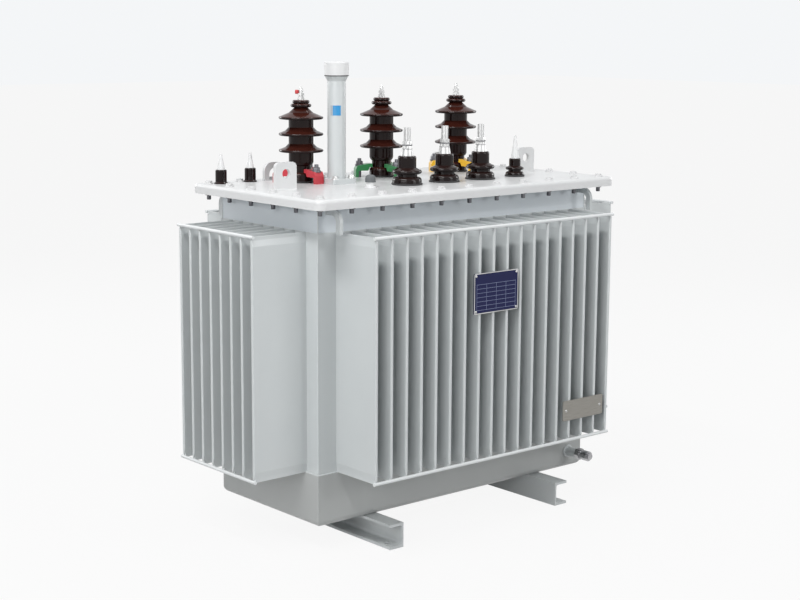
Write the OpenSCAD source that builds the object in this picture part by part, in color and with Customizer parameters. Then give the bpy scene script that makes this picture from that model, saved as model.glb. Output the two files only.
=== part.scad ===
// Oil-filled power transformer: a corrugated tank on two channel skids, with its bushings on the cover.
// The origin is on the ground under the middle of the tank. X runs along the tank, the front faces -Y.

/* [Skids] */
// Height of the channel skids
skid_h = 67; // [50:1:120]
// Length of a skid, across the tank
skid_l = 630; // [500:5:800]
// Clear distance between the two webs
skid_gap = 570; // [400:5:700]
// Width of a skid's flanges
skid_flange_w = 46; // [36:1:60]
// Thickness of the flanges
skid_flange_t = 7; // [5:0.5:10]
// Thickness of the web
skid_web_t = 5; // [4:0.5:8]
// Radius inside the channel, where web and flange meet
skid_root_r = 6; // [2:0.5:8]
// Diameter of the holes for the foundation bolts
skid_hole_d = 18; // [10:0.5:22]
// Distance from a skid's end to its bolt hole
skid_hole_in = 34; // [20:1:60]

/* [Tank] */
// Length of the tank over its end walls
tank_l = 976; // [900:1:1200]
// Width of the tank over its front and back walls
tank_w = 426; // [390:1:560]
// Height of the plain pan below the fins
pan_h = 140; // [90:1:220]
// Thickness of the pan's plate
pan_t = 6; // [5:0.5:8]
// How far the pan stands proud of the walls
pan_step = 3; // [0:0.5:4]
// Outside radius of the pan's bottom edges
pan_edge_r = 18; // [10:1:30]
// Height of the neck between the fins and the rim
neck_h = 72; // [50:1:110]
// Thickness of the neck's plate
neck_t = 8; // [6:0.5:12]
// How far the neck stands back from the walls
neck_back = 2; // [0.5:0.5:2]
// Thickness of the flat rim under the cover
rim_t = 12; // [8:1:20]

/* [Fins] */
// Height of the fins
fin_h = 628; // [400:1:800]
// Thickness of a fin
fin_t = 9; // [7:0.5:14]
// Thickness of the folded sheet
sheet_t = 2.5; // [2:0.1:3]
// Least distance from the end of a wall to the middle of its first fin
fin_margin = 50; // [40:1:60]
// Distance between two fins on the front and back
long_pitch = 50; // [40:0.5:60]
// Depth of the fins on the front and back
long_depth = 160; // [80:1:220]
// Distance between two fins on the ends
end_pitch = 46; // [36:0.5:60]
// Depth of the fins on the ends
end_depth = 168; // [80:1:220]
// Height of the flat welded seam at the top and bottom of a fin
fin_seam_h = 9; // [4:0.5:15]
// Height over which a fin narrows to its seam
fin_pinch = 16; // [8:1:40]
// Radius along a fin's outer edge
fin_edge_r = 4; // [2:0.5:4.5]
// Cut on the outer corners of a fin, where a tie rod lies
fin_corner = 9; // [5:0.5:15]
// Diameter of the rods that tie the fins
tie_d = 9; // [6:0.5:14]
// How far a tie rod runs past the last fin
tie_over = 4; // [0:1:15]
// Clearance between a tie rod and the fins
tie_gap = 0.1; // [0:0.05:0.5]

/* [Cover] */
// How far the cover runs past the tank at each end
cover_over_end = 50; // [40:1:90]
// How far the cover runs past the tank at the front and the back
cover_over_side = 70; // [62:1:110]
// Thickness of the cover plate
cover_t = 8; // [5:0.5:10]
// Height of the turned-down edge
cover_edge_h = 26; // [22:1:40]
// Radius of the cover's corners, seen from above
cover_corner_r = 24; // [18:1:60]
// Radius where the plate turns down
cover_edge_r = 9; // [4:0.5:12]
// Clearance between the rim and the turned-down edge
rim_gap = 2; // [1:0.5:5]

/* [Lifting lugs] */
// Distance of a tank hook from the tank's end
hook_in = 33; // [23:1:48]
// How far a tank hook stands out from the neck
hook_reach = 57; // [45:1:62]
// Thickness of a tank hook
hook_t = 10; // [6:1:16]
// Width of a hook's leg and height of its arm
hook_leg = 16; // [12:1:20]
// Outer radius of a hook
hook_r = 32; // [18:1:40]
// Height of a hook's leg
hook_h = 62; // [45:1:64]
// Distance of a cover lug from the cover's end
lug_in = 98; // [68:1:108]
// Place of the cover lugs across the cover
lug_y = -12; // [-30:1:10]
// Width of a cover lug
lug_w = 68; // [50:1:80]
// Height of a cover lug
lug_h = 72; // [50:1:90]
// Thickness of the lugs on the cover
lug_t = 10; // [6:1:16]
// Radius of a cover lug's upper corners
lug_r = 14; // [6:1:24]
// Diameter of a cover lug's hole
lug_hole_d = 25; // [16:0.5:30]
// Height of a cover lug's hole above the cover
lug_hole_z = 42; // [30:1:50]
// Distance of an arched lug from the cover's end
arch_in = 230; // [205:1:250]
// Distance of the arched lugs and small bushings from the cover's back edge
back_in = 61; // [50:1:75]
// Width of an arched lug
arch_w = 66; // [50:1:80]
// Height of an arched lug
arch_h = 50; // [44:1:70]
// Width of an arched lug's bar
arch_bar = 16; // [10:1:18]

/* [High-voltage bushings] */
// Distance between two high-voltage bushings
hv_pitch = 285; // [240:1:300]
// Distance of the high-voltage row from the cover's back edge
hv_in = 159; // [153:1:173]
// Radius of the base
hv_base_r = 34; // [30:0.5:40]
// Height of the base
hv_base_h = 28; // [20:0.5:36]
// Radius of the base's shoulder
hv_shoulder_r = 9; // [5:0.5:12]
// Radius of the waist above the base
hv_waist_r = 27; // [20:0.5:29]
// Height at which the body begins
hv_body_z = 44; // [40:0.5:52]
// Radius of the body
hv_body_r = 34; // [31:0.5:40]
// Rounding at the body's lower end
hv_body_round = 14; // [5:0.5:18]
// Radius of the sheds
hv_shed_r = 61; // [50:0.5:70]
// Height of the lowest shed's rim
hv_shed_z = 87; // [82:0.5:95]
// Distance between two sheds
hv_shed_pitch = 44.5; // [38:0.5:48]
// Rise of a shed from its rim to the body
hv_shed_rise = 19; // [12:0.5:24]
// Rounding of a shed's rim
hv_rim_r = 4; // [2:0.5:5]
// Radius of the neck under the cap
hv_neck_r = 18; // [14:0.5:24]
// Radius of the cap
hv_cap_r = 28.5; // [25:0.5:34]
// Height of the cap's top
hv_cap_z = 224; // [216:0.5:240]
// Height of the cap
hv_cap_h = 20; // [14:0.5:24]
// Radius of the terminal stud
hv_stud_r = 6; // [4:0.5:10]
// Height of the terminal stud
hv_stud_h = 36; // [26:1:50]
// Distance of a clamp's bolt from the bushing's axis
clamp_bolt_r = 64; // [60:0.5:72]
// Width of a clamp
clamp_w = 30; // [16:1:36]
// Height of a clamp above the base's shoulder
clamp_top = 10; // [6:0.5:12]
// Turn of the three clamps about the bushing
clamp_turn = -87; // [-100:1:-80]
// Diameter of a clamp's bolt hole
clamp_hole_d = 13; // [8:0.5:14]
// Thickness of a clamp's foot
clamp_foot_t = 8; // [4:0.5:10]
// Clearance between a clamp and the porcelain
clamp_gap = 2; // [0.5:0.5:4]

/* [Low-voltage bushings] */
// Distance between two low-voltage bushings
lv_pitch = 136; // [110:1:140]
// Place of the first low-voltage bushing along the cover
lv_x = -96; // [-110:1:-60]
// Distance of the low-voltage row from the cover's front edge
lv_in = 183; // [153:1:203]
// Radius of the base and of the shed
lv_base_r = 40; // [34:0.5:46]
// Height of the base
lv_base_h = 22; // [16:0.5:24]
// Radius of the waist between base and shed
lv_waist_r = 28; // [22:0.5:30]
// Height of the shed's underside
lv_shed_z = 29; // [26:0.5:32]
// Thickness of the shed's rim
lv_shed_t = 12; // [8:0.5:16]
// Rise of the shed from its rim to the upper body
lv_shed_rise = 5; // [2:0.5:8]
// Radius of the upper body
lv_top_r = 25; // [20:0.5:30]
// Height of the porcelain
lv_h = 78; // [66:0.5:90]
// Rounding of the porcelain's upper edge
lv_top_round = 5; // [2:0.5:10]
// Radius of the terminal stud
lv_stud_r = 9.5; // [6:0.5:11]
// Height of the stud's tip above the cover
lv_tip_z = 154; // [140:1:170]
// Size of the neutral bushing against the others
neutral_scale = 0.66; // [0.5:0.01:1]

/* [Small fittings] */
// Distance of the first small bushing from the cover's left end
small_in = 56; // [48:1:68]
// Distance between the two small bushings
small_pitch = 96; // [90:1:110]
// Radius of a small bushing's body
small_r = 15.5; // [10:0.5:17]
// Height of a small bushing's porcelain
small_h = 38; // [30:0.5:50]
// Radius of a small bushing's foot
small_foot_r = 19; // [18:0.5:21]
// Height of a small bushing's foot
small_foot_h = 7; // [4:0.5:10]
// Rounding of a small bushing's upper edge
small_round = 3; // [1:0.5:6]
// Height of the pale cone on a small bushing
small_cone_h = 42; // [30:0.5:60]
// Place of the filler tube along the cover
filler_x = -224; // [-240:1:-190]
// Distance of the filler tube from the cover's back edge
filler_in = 238; // [233:1:263]
// Diameter of the filler tube
filler_d = 50; // [40:0.5:56]
// Height of the tube above the cover, with its collar
filler_h = 290; // [220:1:340]
// Wall of the filler tube
filler_wall = 4; // [3:0.5:6]
// Width of the tube's square flange
filler_flange_w = 78; // [72:1:84]
// Thickness of the tube's flange
filler_flange_t = 14; // [8:0.5:20]
// Radius of the flange's corners
filler_flange_r = 6; // [2:0.5:12]
// Height of the collar under the filler cap
filler_collar_h = 14; // [8:0.5:24]
// Radius of the filler cap
filler_cap_r = 34; // [31:0.5:40]
// Height of the filler cap
filler_cap_h = 38; // [25:0.5:50]
// Bevel round the top of the filler cap
filler_cap_bevel = 3; // [1:0.5:6]
// Place of the thermometer pocket along the cover, in line with the low-voltage row
pocket_x = -224; // [-240:1:-180]
// Radius of the pocket's rubber cap
pocket_cap_r = 14; // [12:0.5:18]
// Height of the pocket below its cap
pocket_h = 14; // [8:0.5:20]
// Distance of the drain from the tank's right end
drain_in = 52; // [38:1:88]
// Height of the drain above the pan's bottom
drain_z = 50; // [35:1:75]
// Length of the drain stub
drain_l = 42; // [25:1:70]
// Outer diameter of the drain stub
drain_d = 27; // [22:0.5:34]
// Diameter of the pad where the stub meets the tank
drain_pad_d = 37; // [35:0.5:50]
// Thickness of that pad
drain_pad_t = 4; // [2:0.5:8]
// Length of the drain valve
valve_l = 50; // [40:1:70]

/* [Plates] */
// Width of both plates
plate_w = 160; // [100:1:200]
// Thickness of both plates
plate_t = 3; // [1.5:0.5:6]
// Radius of the plates' corners
plate_corner_r = 4; // [1:0.5:10]
// Height of the nameplate
name_h = 108; // [60:1:140]
// Place of the nameplate's middle along the front
name_x = -20; // [-60:1:60]
// Distance of the nameplate's middle below the top of the fins
name_down = 174; // [90:1:240]
// Height of the lower plate
lower_h = 57; // [30:1:80]
// Distance of the lower plate's middle from the tank's right end
lower_in = 162; // [145:1:220]
// Distance of the lower plate's middle above the bottom of the fins
lower_up = 87; // [55:1:130]

/* [Hidden] */
$fn = 96;

tank_paint = [0.80, 0.82, 0.83];
cover_paint = [0.90, 0.91, 0.91];
porcelain = [0.20, 0.09, 0.07];
bright_metal = [0.86, 0.87, 0.88];
white_plastic = [0.93, 0.93, 0.92];
rubber_grey = [0.42, 0.44, 0.45];
valve_metal = [0.35, 0.36, 0.38];
name_blue = [0.10, 0.16, 0.42];
plate_grey = [0.62, 0.60, 0.57];
phase_red = [0.82, 0.12, 0.16];
phase_green = [0.10, 0.50, 0.22];
phase_yellow = [0.95, 0.74, 0.12];

// Levels above the ground
pan_z = skid_h;
fin_z = pan_z + pan_h;
fin_top_z = fin_z + fin_h;
rim_z = fin_top_z + neck_h;
plate_z = rim_z + rim_t;
cover_z = plate_z + cover_t;

// Faces of the tank, from its middle
front_y = tank_w / 2;
end_x = tank_l / 2;
fin_front_y = front_y + long_depth;
neck_x = end_x - neck_back;
neck_y = front_y - neck_back;
overlap = 1;

// As many fins as the walls have room for
function fin_count(span, pitch) = floor((span - 2 * fin_margin) / pitch) + 1;
long_fins = fin_count(tank_l, long_pitch);
end_fins = fin_count(tank_w, end_pitch);

// Cover and what stands on it
cover_l = tank_l + 2 * cover_over_end;
cover_w = tank_w + 2 * cover_over_side;
lug_x = cover_l / 2 - lug_in;
arch_x = cover_l / 2 - arch_in;
small_x = small_in - cover_l / 2;
back_y = cover_w / 2 - back_in;
hv_y = cover_w / 2 - hv_in;
lv_y = lv_in - cover_w / 2;
filler_y = cover_w / 2 - filler_in;

// What hangs on the tank's sides
hook_x = end_x - hook_in;
drain_x = end_x - drain_in;
lower_x = end_x - lower_in;
lower_z = fin_z + lower_up;
name_z = fin_top_z - name_down;

// A flat rounded plate, standing on z = 0
module rounded_plate(l, w, r, h) {
    linear_extrude(h) rounded_outline(l, w, r);
}

module rounded_outline(l, w, r) {
    square([l - 2 * r, w], center = true);
    square([l, w - 2 * r], center = true);
    for (x = [-1, 1], y = [-1, 1])
        translate([x * (l / 2 - r), y * (w / 2 - r)]) circle(r);
}

// A bar along Y with its section drawn in X and Z, its middle at y = 0
module along_y(l) {
    translate([0, l / 2, 0]) rotate([90, 0, 0]) linear_extrude(l) children();
}

// A bar along X with its section drawn in Y and Z, its middle at x = 0
module along_x(l) {
    translate([-l / 2, 0, 0]) rotate([90, 0, 90]) linear_extrude(l) children();
}

// Skids

module channel_section() {
    root = skid_root_r;
    inner_h = skid_h - 2 * skid_flange_t;
    difference() {
        square([skid_flange_w, skid_h]);
        translate([skid_web_t + root, skid_flange_t]) square([skid_flange_w, inner_h]);
        translate([skid_web_t, skid_flange_t + root]) square([skid_flange_w, inner_h - 2 * root]);
        for (z = [skid_flange_t + root, skid_h - skid_flange_t - root])
            translate([skid_web_t + root, z]) circle(root);
    }
}

module base_channel() {
    hole_x = skid_gap / 2 + (skid_web_t + skid_flange_w) / 2;
    difference() {
        translate([skid_gap / 2, 0, 0]) along_y(skid_l) channel_section();
        for (side = [-1, 1])
            translate([hole_x, side * (skid_l / 2 - skid_hole_in), -overlap])
                cylinder(d = skid_hole_d, h = skid_flange_t + 2 * overlap);
    }
}

module base_channel_left() { color(tank_paint) mirror([1, 0, 0]) base_channel(); }
module base_channel_right() { color(tank_paint) base_channel(); }

// Tank pan, neck and rim

// A box whose two lower edges are rounded, as a section
module pan_section(w, h, r) {
    translate([-w / 2, r]) square([w, h - r]);
    translate([r - w / 2, 0]) square([w - 2 * r, h]);
    for (x = [-1, 1]) translate([x * (w / 2 - r), r]) circle(r);
}

module pan_block(l, w, h, r) {
    intersection() {
        along_x(l) pan_section(w, h, r);
        along_y(w) pan_section(l, h, r);
    }
}

module tank_base() {
    l = tank_l + 2 * pan_step;
    w = tank_w + 2 * pan_step;
    color(tank_paint) translate([0, 0, pan_z]) difference() {
        pan_block(l, w, pan_h, pan_edge_r);
        translate([0, 0, pan_t])
            pan_block(l - 2 * pan_t, w - 2 * pan_t, pan_h, pan_edge_r - pan_t);
    }
}

module tank_neck() {
    color(tank_paint) translate([0, 0, fin_top_z]) linear_extrude(neck_h) difference() {
        square([2 * neck_x, 2 * neck_y], center = true);
        square([2 * (neck_x - neck_t), 2 * (neck_y - neck_t)], center = true);
    }
}

module tank_rim() {
    inset = cover_t + rim_gap;
    color(tank_paint) translate([0, 0, rim_z]) linear_extrude(rim_t) difference() {
        rounded_outline(cover_l - 2 * inset, cover_w - 2 * inset, cover_corner_r - inset);
        square([2 * (neck_x - neck_t), 2 * (neck_y - neck_t)], center = true);
    }
}

// Corrugated walls, drawn with the outside towards -Y and standing on z = 0

function row(count, pitch) = [for (i = [0 : count - 1]) (i - (count - 1) / 2) * pitch];

// A fillet along a fin's edge, limited by the fin's own half thickness
function edge_round(r, half) = min(max(r, 0.3 * half), 0.9 * half);

// A section in X and Z, carried out of the wall and back into it
module out_of_wall(depth, back) {
    translate([0, back, 0]) rotate([90, 0, 0]) linear_extrude(depth + back + overlap) children();
}

// A fin seen from above, rounded along its outer edge
module fin_outline(depth, half, r, back) {
    translate([-half, r - depth]) square([2 * half, depth - r + back]);
    translate([r - half, -depth]) square([2 * (half - r), depth]);
    for (x = [-1, 1]) translate([x * (half - r), r - depth]) circle(r);
}

// The outside of a fin: full width in the middle, pinched to a flat seam at both ends, with cut corners
module fin_shell(depth) {
    half = fin_t / 2;
    seam = sheet_t;
    full = fin_seam_h + fin_pinch;
    back = sheet_t / 2;
    intersection() {
        out_of_wall(depth, back) polygon([
            [-seam, 0], [seam, 0], [seam, fin_seam_h], [half, full],
            [half, fin_h - full], [seam, fin_h - fin_seam_h], [seam, fin_h],
            [-seam, fin_h], [-seam, fin_h - fin_seam_h], [-half, fin_h - full],
            [-half, full], [-seam, fin_seam_h]
        ]);
        rotate([90, 0, 90]) translate([0, 0, -fin_t]) linear_extrude(2 * fin_t) polygon([
            [back, 0], [fin_corner - depth, 0], [-depth, fin_corner],
            [-depth, fin_h - fin_corner], [fin_corner - depth, fin_h], [back, fin_h]
        ]);
        linear_extrude(fin_h) fin_outline(depth, half, edge_round(fin_edge_r, half), back);
    }
}

// The oil space in a fin, closed at its seams and open towards the tank
module fin_hollow(depth) {
    half = fin_t / 2 - sheet_t;
    full = fin_seam_h + fin_pinch;
    back = sheet_t + overlap;
    intersection() {
        out_of_wall(depth, back) polygon([
            [0, fin_seam_h], [half, full], [half, fin_h - full],
            [0, fin_h - fin_seam_h], [-half, fin_h - full], [-half, full]
        ]);
        linear_extrude(fin_h)
            fin_outline(depth - sheet_t, half, edge_round(fin_edge_r - sheet_t, half), back);
    }
}

module corrugated_wall(span, count, pitch, depth) {
    difference() {
        union() {
            translate([-span / 2, 0, 0]) cube([span, sheet_t, fin_h]);
            for (x = row(count, pitch)) translate([x, 0, 0]) fin_shell(depth);
        }
        for (x = row(count, pitch)) translate([x, 0, 0]) fin_hollow(depth);
    }
}

// Two round rods that lie in the cut corners of the fins
module tie_rods(count, pitch, depth) {
    l = (count - 1) * pitch + fin_t + 2 * tie_over;
    seat = fin_corner / 2 - (tie_d / 2 + tie_gap) / sqrt(2);
    for (z = [seat, fin_h - seat])
        translate([0, seat - depth, z]) rotate([0, 90, 0]) cylinder(d = tie_d, h = l, center = true);
}

// Turns a wall drawn for the front to one of the four sides
module on_front() { translate([0, -front_y, fin_z]) children(); }
module on_back() { rotate(180) on_front() children(); }
module on_left() { rotate(-90) translate([0, -end_x, fin_z]) children(); }
module on_right() { rotate(90) translate([0, -end_x, fin_z]) children(); }

module long_wall() { corrugated_wall(tank_l, long_fins, long_pitch, long_depth); }
module end_wall() { corrugated_wall(tank_w - 2 * sheet_t, end_fins, end_pitch, end_depth); }
module long_ties() { tie_rods(long_fins, long_pitch, long_depth); }
module end_ties() { tie_rods(end_fins, end_pitch, end_depth); }

module corrugated_wall_front() { color(tank_paint) on_front() long_wall(); }
module corrugated_wall_back() { color(tank_paint) on_back() long_wall(); }
module corrugated_wall_left() { color(tank_paint) on_left() end_wall(); }
module corrugated_wall_right() { color(tank_paint) on_right() end_wall(); }
module fin_tie_bars_front() { color(tank_paint) on_front() long_ties(); }
module fin_tie_bars_back() { color(tank_paint) on_back() long_ties(); }
module fin_tie_bars_left() { color(tank_paint) on_left() end_ties(); }
module fin_tie_bars_right() { color(tank_paint) on_right() end_ties(); }

// Cover: a plate whose edge is turned down all round

// Section of the edge, from a corner's middle outwards, with z = 0 at the lower lip
module cover_edge_section() {
    r = cover_edge_r;
    difference() {
        union() {
            square([cover_corner_r, cover_edge_h - r]);
            square([cover_corner_r - r, cover_edge_h]);
            translate([cover_corner_r - r, cover_edge_h - r]) circle(r);
        }
        translate([-overlap, -overlap])
            square([cover_corner_r - cover_t + overlap, cover_edge_h - cover_t + overlap]);
    }
}

module cover() {
    inner_l = cover_l - 2 * cover_corner_r;
    inner_w = cover_w - 2 * cover_corner_r;
    color(cover_paint) translate([0, 0, cover_z - cover_edge_h]) {
        translate([-inner_l / 2, -inner_w / 2, cover_edge_h - cover_t])
            cube([inner_l, inner_w, cover_t]);
        for (side = [0, 180]) rotate(side) {
            translate([inner_l / 2, 0, 0]) along_y(inner_w) cover_edge_section();
            translate([0, inner_w / 2, 0]) along_x(inner_l) cover_edge_section();
            translate([inner_l / 2, inner_w / 2, 0]) rotate_extrude(angle = 90) cover_edge_section();
            translate([-inner_l / 2, inner_w / 2, 0]) rotate(90)
                rotate_extrude(angle = 90) cover_edge_section();
        }
    }
}

// Lifting lugs

// A hook seen from its side: an arm out of the neck and a leg that hangs from it
module hook_outline() {
    inner_w = hook_reach - hook_leg;
    inner_r = min(hook_r - hook_leg, inner_w);
    difference() {
        intersection() {
            union() {
                square([hook_reach - hook_r, hook_h]);
                square([hook_reach, hook_h - hook_r]);
                translate([hook_reach - hook_r, hook_h - hook_r]) circle(hook_r);
            }
            square([hook_reach, hook_h]);
        }
        translate([-overlap, -overlap])
            square([inner_w - inner_r + overlap, hook_h - hook_leg + overlap]);
        translate([-overlap, -overlap])
            square([inner_w + overlap, hook_h - hook_leg - inner_r + overlap]);
        translate([inner_w - inner_r, hook_h - hook_leg - inner_r]) circle(inner_r);
    }
}

module tank_hook_pair() {
    for (x = [-hook_x, hook_x])
        translate([x + hook_t / 2, -neck_y, fin_top_z])
            rotate([90, 0, -90]) linear_extrude(hook_t) hook_outline();
}

module tank_hooks_front() { color(tank_paint) tank_hook_pair(); }
module tank_hooks_back() { color(tank_paint) rotate(180) tank_hook_pair(); }

module lug_outline(w, h, r) {
    translate([-w / 2, 0]) square([w, h - r]);
    translate([r - w / 2, 0]) square([w - 2 * r, h]);
    for (x = [-1, 1]) translate([x * (w / 2 - r), h - r]) circle(r);
}

module cover_lugs() {
    color(cover_paint) for (x = [-lug_x, lug_x]) translate([x, lug_y, cover_z]) difference() {
        along_y(lug_t) lug_outline(lug_w, lug_h, lug_r);
        translate([0, lug_t, lug_hole_z]) rotate([90, 0, 0]) cylinder(d = lug_hole_d, h = 2 * lug_t);
    }
}

module arch_lugs() {
    inner_w = arch_w - 2 * arch_bar;
    inner_h = arch_h - arch_bar;
    inner_r = inner_w / 2;
    color(cover_paint) for (x = [-arch_x, arch_x])
        translate([x, back_y, cover_z]) along_y(lug_t) difference() {
            lug_outline(arch_w, arch_h, inner_r + arch_bar / 2);
            translate([0, inner_h - inner_r]) circle(inner_r);
            translate([-inner_r, -overlap]) square([inner_w, inner_h - inner_r + overlap]);
        }
}

// High-voltage bushings

// A shed's half section: flat below, a hollow slope above, round at the rim
module shed_section(inner_r, outer_r, rise, rim_r) {
    slope_r = inner_r + (outer_r - inner_r) * 0.35;
    polygon([
        [0, -rim_r], [outer_r - rim_r, -rim_r], [outer_r - rim_r, rim_r],
        [slope_r, rise * 0.5], [inner_r, rise], [0, rise]
    ]);
    translate([outer_r - rim_r, 0]) circle(rim_r);
}

module hv_section() {
    shoulder_in = hv_base_r - hv_shoulder_r;
    last_shed_z = hv_shed_z + 2 * hv_shed_pitch;
    rib_r = hv_cap_h / 4;
    // Base
    square([hv_base_r, hv_base_h - hv_shoulder_r]);
    square([shoulder_in, hv_base_h]);
    translate([shoulder_in, hv_base_h - hv_shoulder_r]) circle(hv_shoulder_r);
    // Waist and body
    square([hv_waist_r, hv_body_z + hv_body_round]);
    translate([0, hv_body_z]) square([hv_body_r - hv_body_round, hv_body_round]);
    translate([hv_body_r - hv_body_round, hv_body_z + hv_body_round]) circle(hv_body_round);
    translate([0, hv_body_z + hv_body_round])
        square([hv_body_r, last_shed_z - hv_body_z - hv_body_round]);
    // Sheds, of which the top one runs up to the neck
    for (i = [0, 1]) translate([0, hv_shed_z + i * hv_shed_pitch])
        shed_section(hv_body_r, hv_shed_r, hv_shed_rise, hv_rim_r);
    translate([0, last_shed_z])
        shed_section(hv_neck_r, hv_shed_r, hv_cap_z - hv_cap_h - last_shed_z, hv_rim_r);
    // Neck and ribbed cap
    square([hv_neck_r, hv_cap_z]);
    translate([0, hv_cap_z - hv_cap_h]) square([hv_cap_r - rib_r, 2 * rib_r]);
    translate([hv_cap_r - rib_r, hv_cap_z - hv_cap_h + rib_r]) circle(rib_r);
    translate([0, hv_cap_z - 2 * rib_r]) square([hv_cap_r - 2 * rib_r, 2 * rib_r]);
    translate([hv_cap_r - 2 * rib_r, hv_cap_z - rib_r]) circle(rib_r);
}

module hv_place(i) { translate([i * hv_pitch, hv_y, cover_z]) children(); }

module hv_bushing(i) { color(porcelain) hv_place(i) rotate_extrude() hv_section(); }

// A stud with two nuts and a pointed tip
module hv_terminal(i) {
    nut_h = hv_stud_r;
    tip_h = 1.5 * hv_stud_r;
    color(bright_metal) hv_place(i) translate([0, 0, hv_cap_z]) {
        cylinder(r = hv_stud_r, h = hv_stud_h - tip_h);
        cylinder(r = 1.8 * hv_stud_r, h = nut_h / 2);
        translate([0, 0, nut_h / 2]) cylinder(r = 1.6 * hv_stud_r, h = nut_h, $fn = 6);
        translate([0, 0, 2 * nut_h]) cylinder(r = 1.6 * hv_stud_r, h = nut_h, $fn = 6);
        translate([0, 0, hv_stud_h - tip_h]) cylinder(r1 = hv_stud_r, r2 = hv_stud_r / 3, h = tip_h);
    }
}

// One clamp: a claw from the base's shoulder over its bolt to a foot on the cover
module clamp_claw() {
    tip_r = hv_waist_r + clamp_gap;
    side_r = hv_base_r + clamp_gap;
    out_r = clamp_bolt_r + clamp_hole_d;
    top_z = hv_base_h + clamp_top;
    under_z = hv_base_h - clamp_top;
    bevel = clamp_top / 2;
    difference() {
        along_y(clamp_w) polygon([
            [tip_r, hv_base_h], [side_r, hv_base_h], [side_r + bevel, under_z],
            [out_r - clamp_foot_t, under_z], [out_r - clamp_foot_t, 0], [out_r, 0],
            [out_r, top_z - 3 * bevel], [out_r - bevel, top_z - bevel],
            [side_r + bevel, top_z], [tip_r, top_z]
        ]);
        cylinder(r = tip_r, h = 2 * top_z);
        translate([clamp_bolt_r, 0, -overlap]) cylinder(d = clamp_hole_d, h = 2 * top_z);
    }
}

module hv_clamps(i, paint) {
    color(paint) hv_place(i)
        for (turn = [0, 120, 240]) rotate(turn + clamp_turn) clamp_claw();
}

module hv_bushing_left() { hv_bushing(-1); }
module hv_bushing_middle() { hv_bushing(0); }
module hv_bushing_right() { hv_bushing(1); }
module hv_terminal_left() { hv_terminal(-1); }
module hv_terminal_middle() { hv_terminal(0); }
module hv_terminal_right() { hv_terminal(1); }
module hv_clamps_left() { hv_clamps(-1, phase_red); }
module hv_clamps_middle() { hv_clamps(0, phase_green); }
module hv_clamps_right() { hv_clamps(1, phase_yellow); }

// Low-voltage bushings

module lv_section() {
    base_round = lv_base_h / 2;
    rim_round = lv_shed_t / 2;
    shed_top = lv_shed_z + lv_shed_t;
    // Base with a rounded shoulder
    square([lv_base_r, lv_base_h - base_round]);
    square([lv_base_r - base_round, lv_base_h]);
    translate([lv_base_r - base_round, lv_base_h - base_round]) circle(base_round);
    // Waist
    square([lv_waist_r, shed_top]);
    // Shed, higher at its middle
    translate([0, lv_shed_z]) square([lv_base_r - rim_round, lv_shed_t]);
    translate([lv_base_r - rim_round, lv_shed_z + rim_round]) circle(rim_round);
    polygon([
        [0, shed_top], [lv_base_r - rim_round, shed_top],
        [lv_top_r, shed_top + lv_shed_rise], [0, shed_top + lv_shed_rise]
    ]);
    // Upper body
    square([lv_top_r, lv_h - lv_top_round]);
    square([lv_top_r - lv_top_round, lv_h]);
    translate([lv_top_r - lv_top_round, lv_h - lv_top_round]) circle(lv_top_round);
}

module lv_place(i) { translate([lv_x + i * lv_pitch, lv_y, cover_z]) children(); }

module lv_bushing(i, size) { color(porcelain) lv_place(i) scale(size) rotate_extrude() lv_section(); }

// A cone, two nuts and a plain stud
module lv_terminal(i) {
    cone_h = 2.1 * lv_stud_r;
    nut_h = lv_stud_r;
    color(bright_metal) lv_place(i) translate([0, 0, lv_h]) {
        cylinder(r1 = 1.8 * lv_stud_r, r2 = 1.45 * lv_stud_r, h = cone_h);
        translate([0, 0, cone_h]) cylinder(r = 1.4 * lv_stud_r, h = nut_h, $fn = 6);
        translate([0, 0, cone_h + nut_h]) rotate(20) cylinder(r = 1.4 * lv_stud_r, h = nut_h, $fn = 6);
        cylinder(r = lv_stud_r, h = lv_tip_z - lv_h);
    }
}

module lv_bushing_1() { lv_bushing(0, 1); }
module lv_bushing_2() { lv_bushing(1, 1); }
module lv_bushing_3() { lv_bushing(2, 1); }
module lv_bushing_neutral() { lv_bushing(3, neutral_scale); }
module lv_terminal_1() { lv_terminal(0); }
module lv_terminal_2() { lv_terminal(1); }
module lv_terminal_3() { lv_terminal(2); }

// The pale cone on the neutral bushing and on the small bushings, in two tiers
module cone_cap(r, h) {
    tier_h = h / 4;
    cylinder(r1 = r, r2 = 0.85 * r, h = tier_h);
    translate([0, 0, tier_h]) cylinder(r1 = 0.8 * r, r2 = 0.28 * r, h = h - tier_h);
}

module lv_terminal_neutral() {
    color(white_plastic) lv_place(3) translate([0, 0, neutral_scale * lv_h])
        cone_cap(0.72 * neutral_scale * lv_top_r, 2 * neutral_scale * (lv_h - lv_shed_z));
}

// Small bushings at the back

module small_place() {
    for (i = [0, 1]) translate([small_x + i * small_pitch, back_y, cover_z]) children();
}

module small_section() {
    lip = small_foot_h / 3;
    polygon([
        [0, 0], [small_foot_r, 0], [small_foot_r, lip], [small_r - lip, small_foot_h], [0, small_foot_h]
    ]);
    square([small_r, small_h - small_round]);
    square([small_r - small_round, small_h]);
    translate([small_r - small_round, small_h - small_round]) circle(small_round);
}

module small_bushings() { color(porcelain) small_place() rotate_extrude() small_section(); }

module small_bushing_cones() {
    color(white_plastic) small_place() translate([0, 0, small_h]) cone_cap(0.7 * small_r, small_cone_h);
}

// Filler tube and thermometer pocket

module filler_place() { translate([filler_x, filler_y, cover_z]) children(); }

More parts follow.
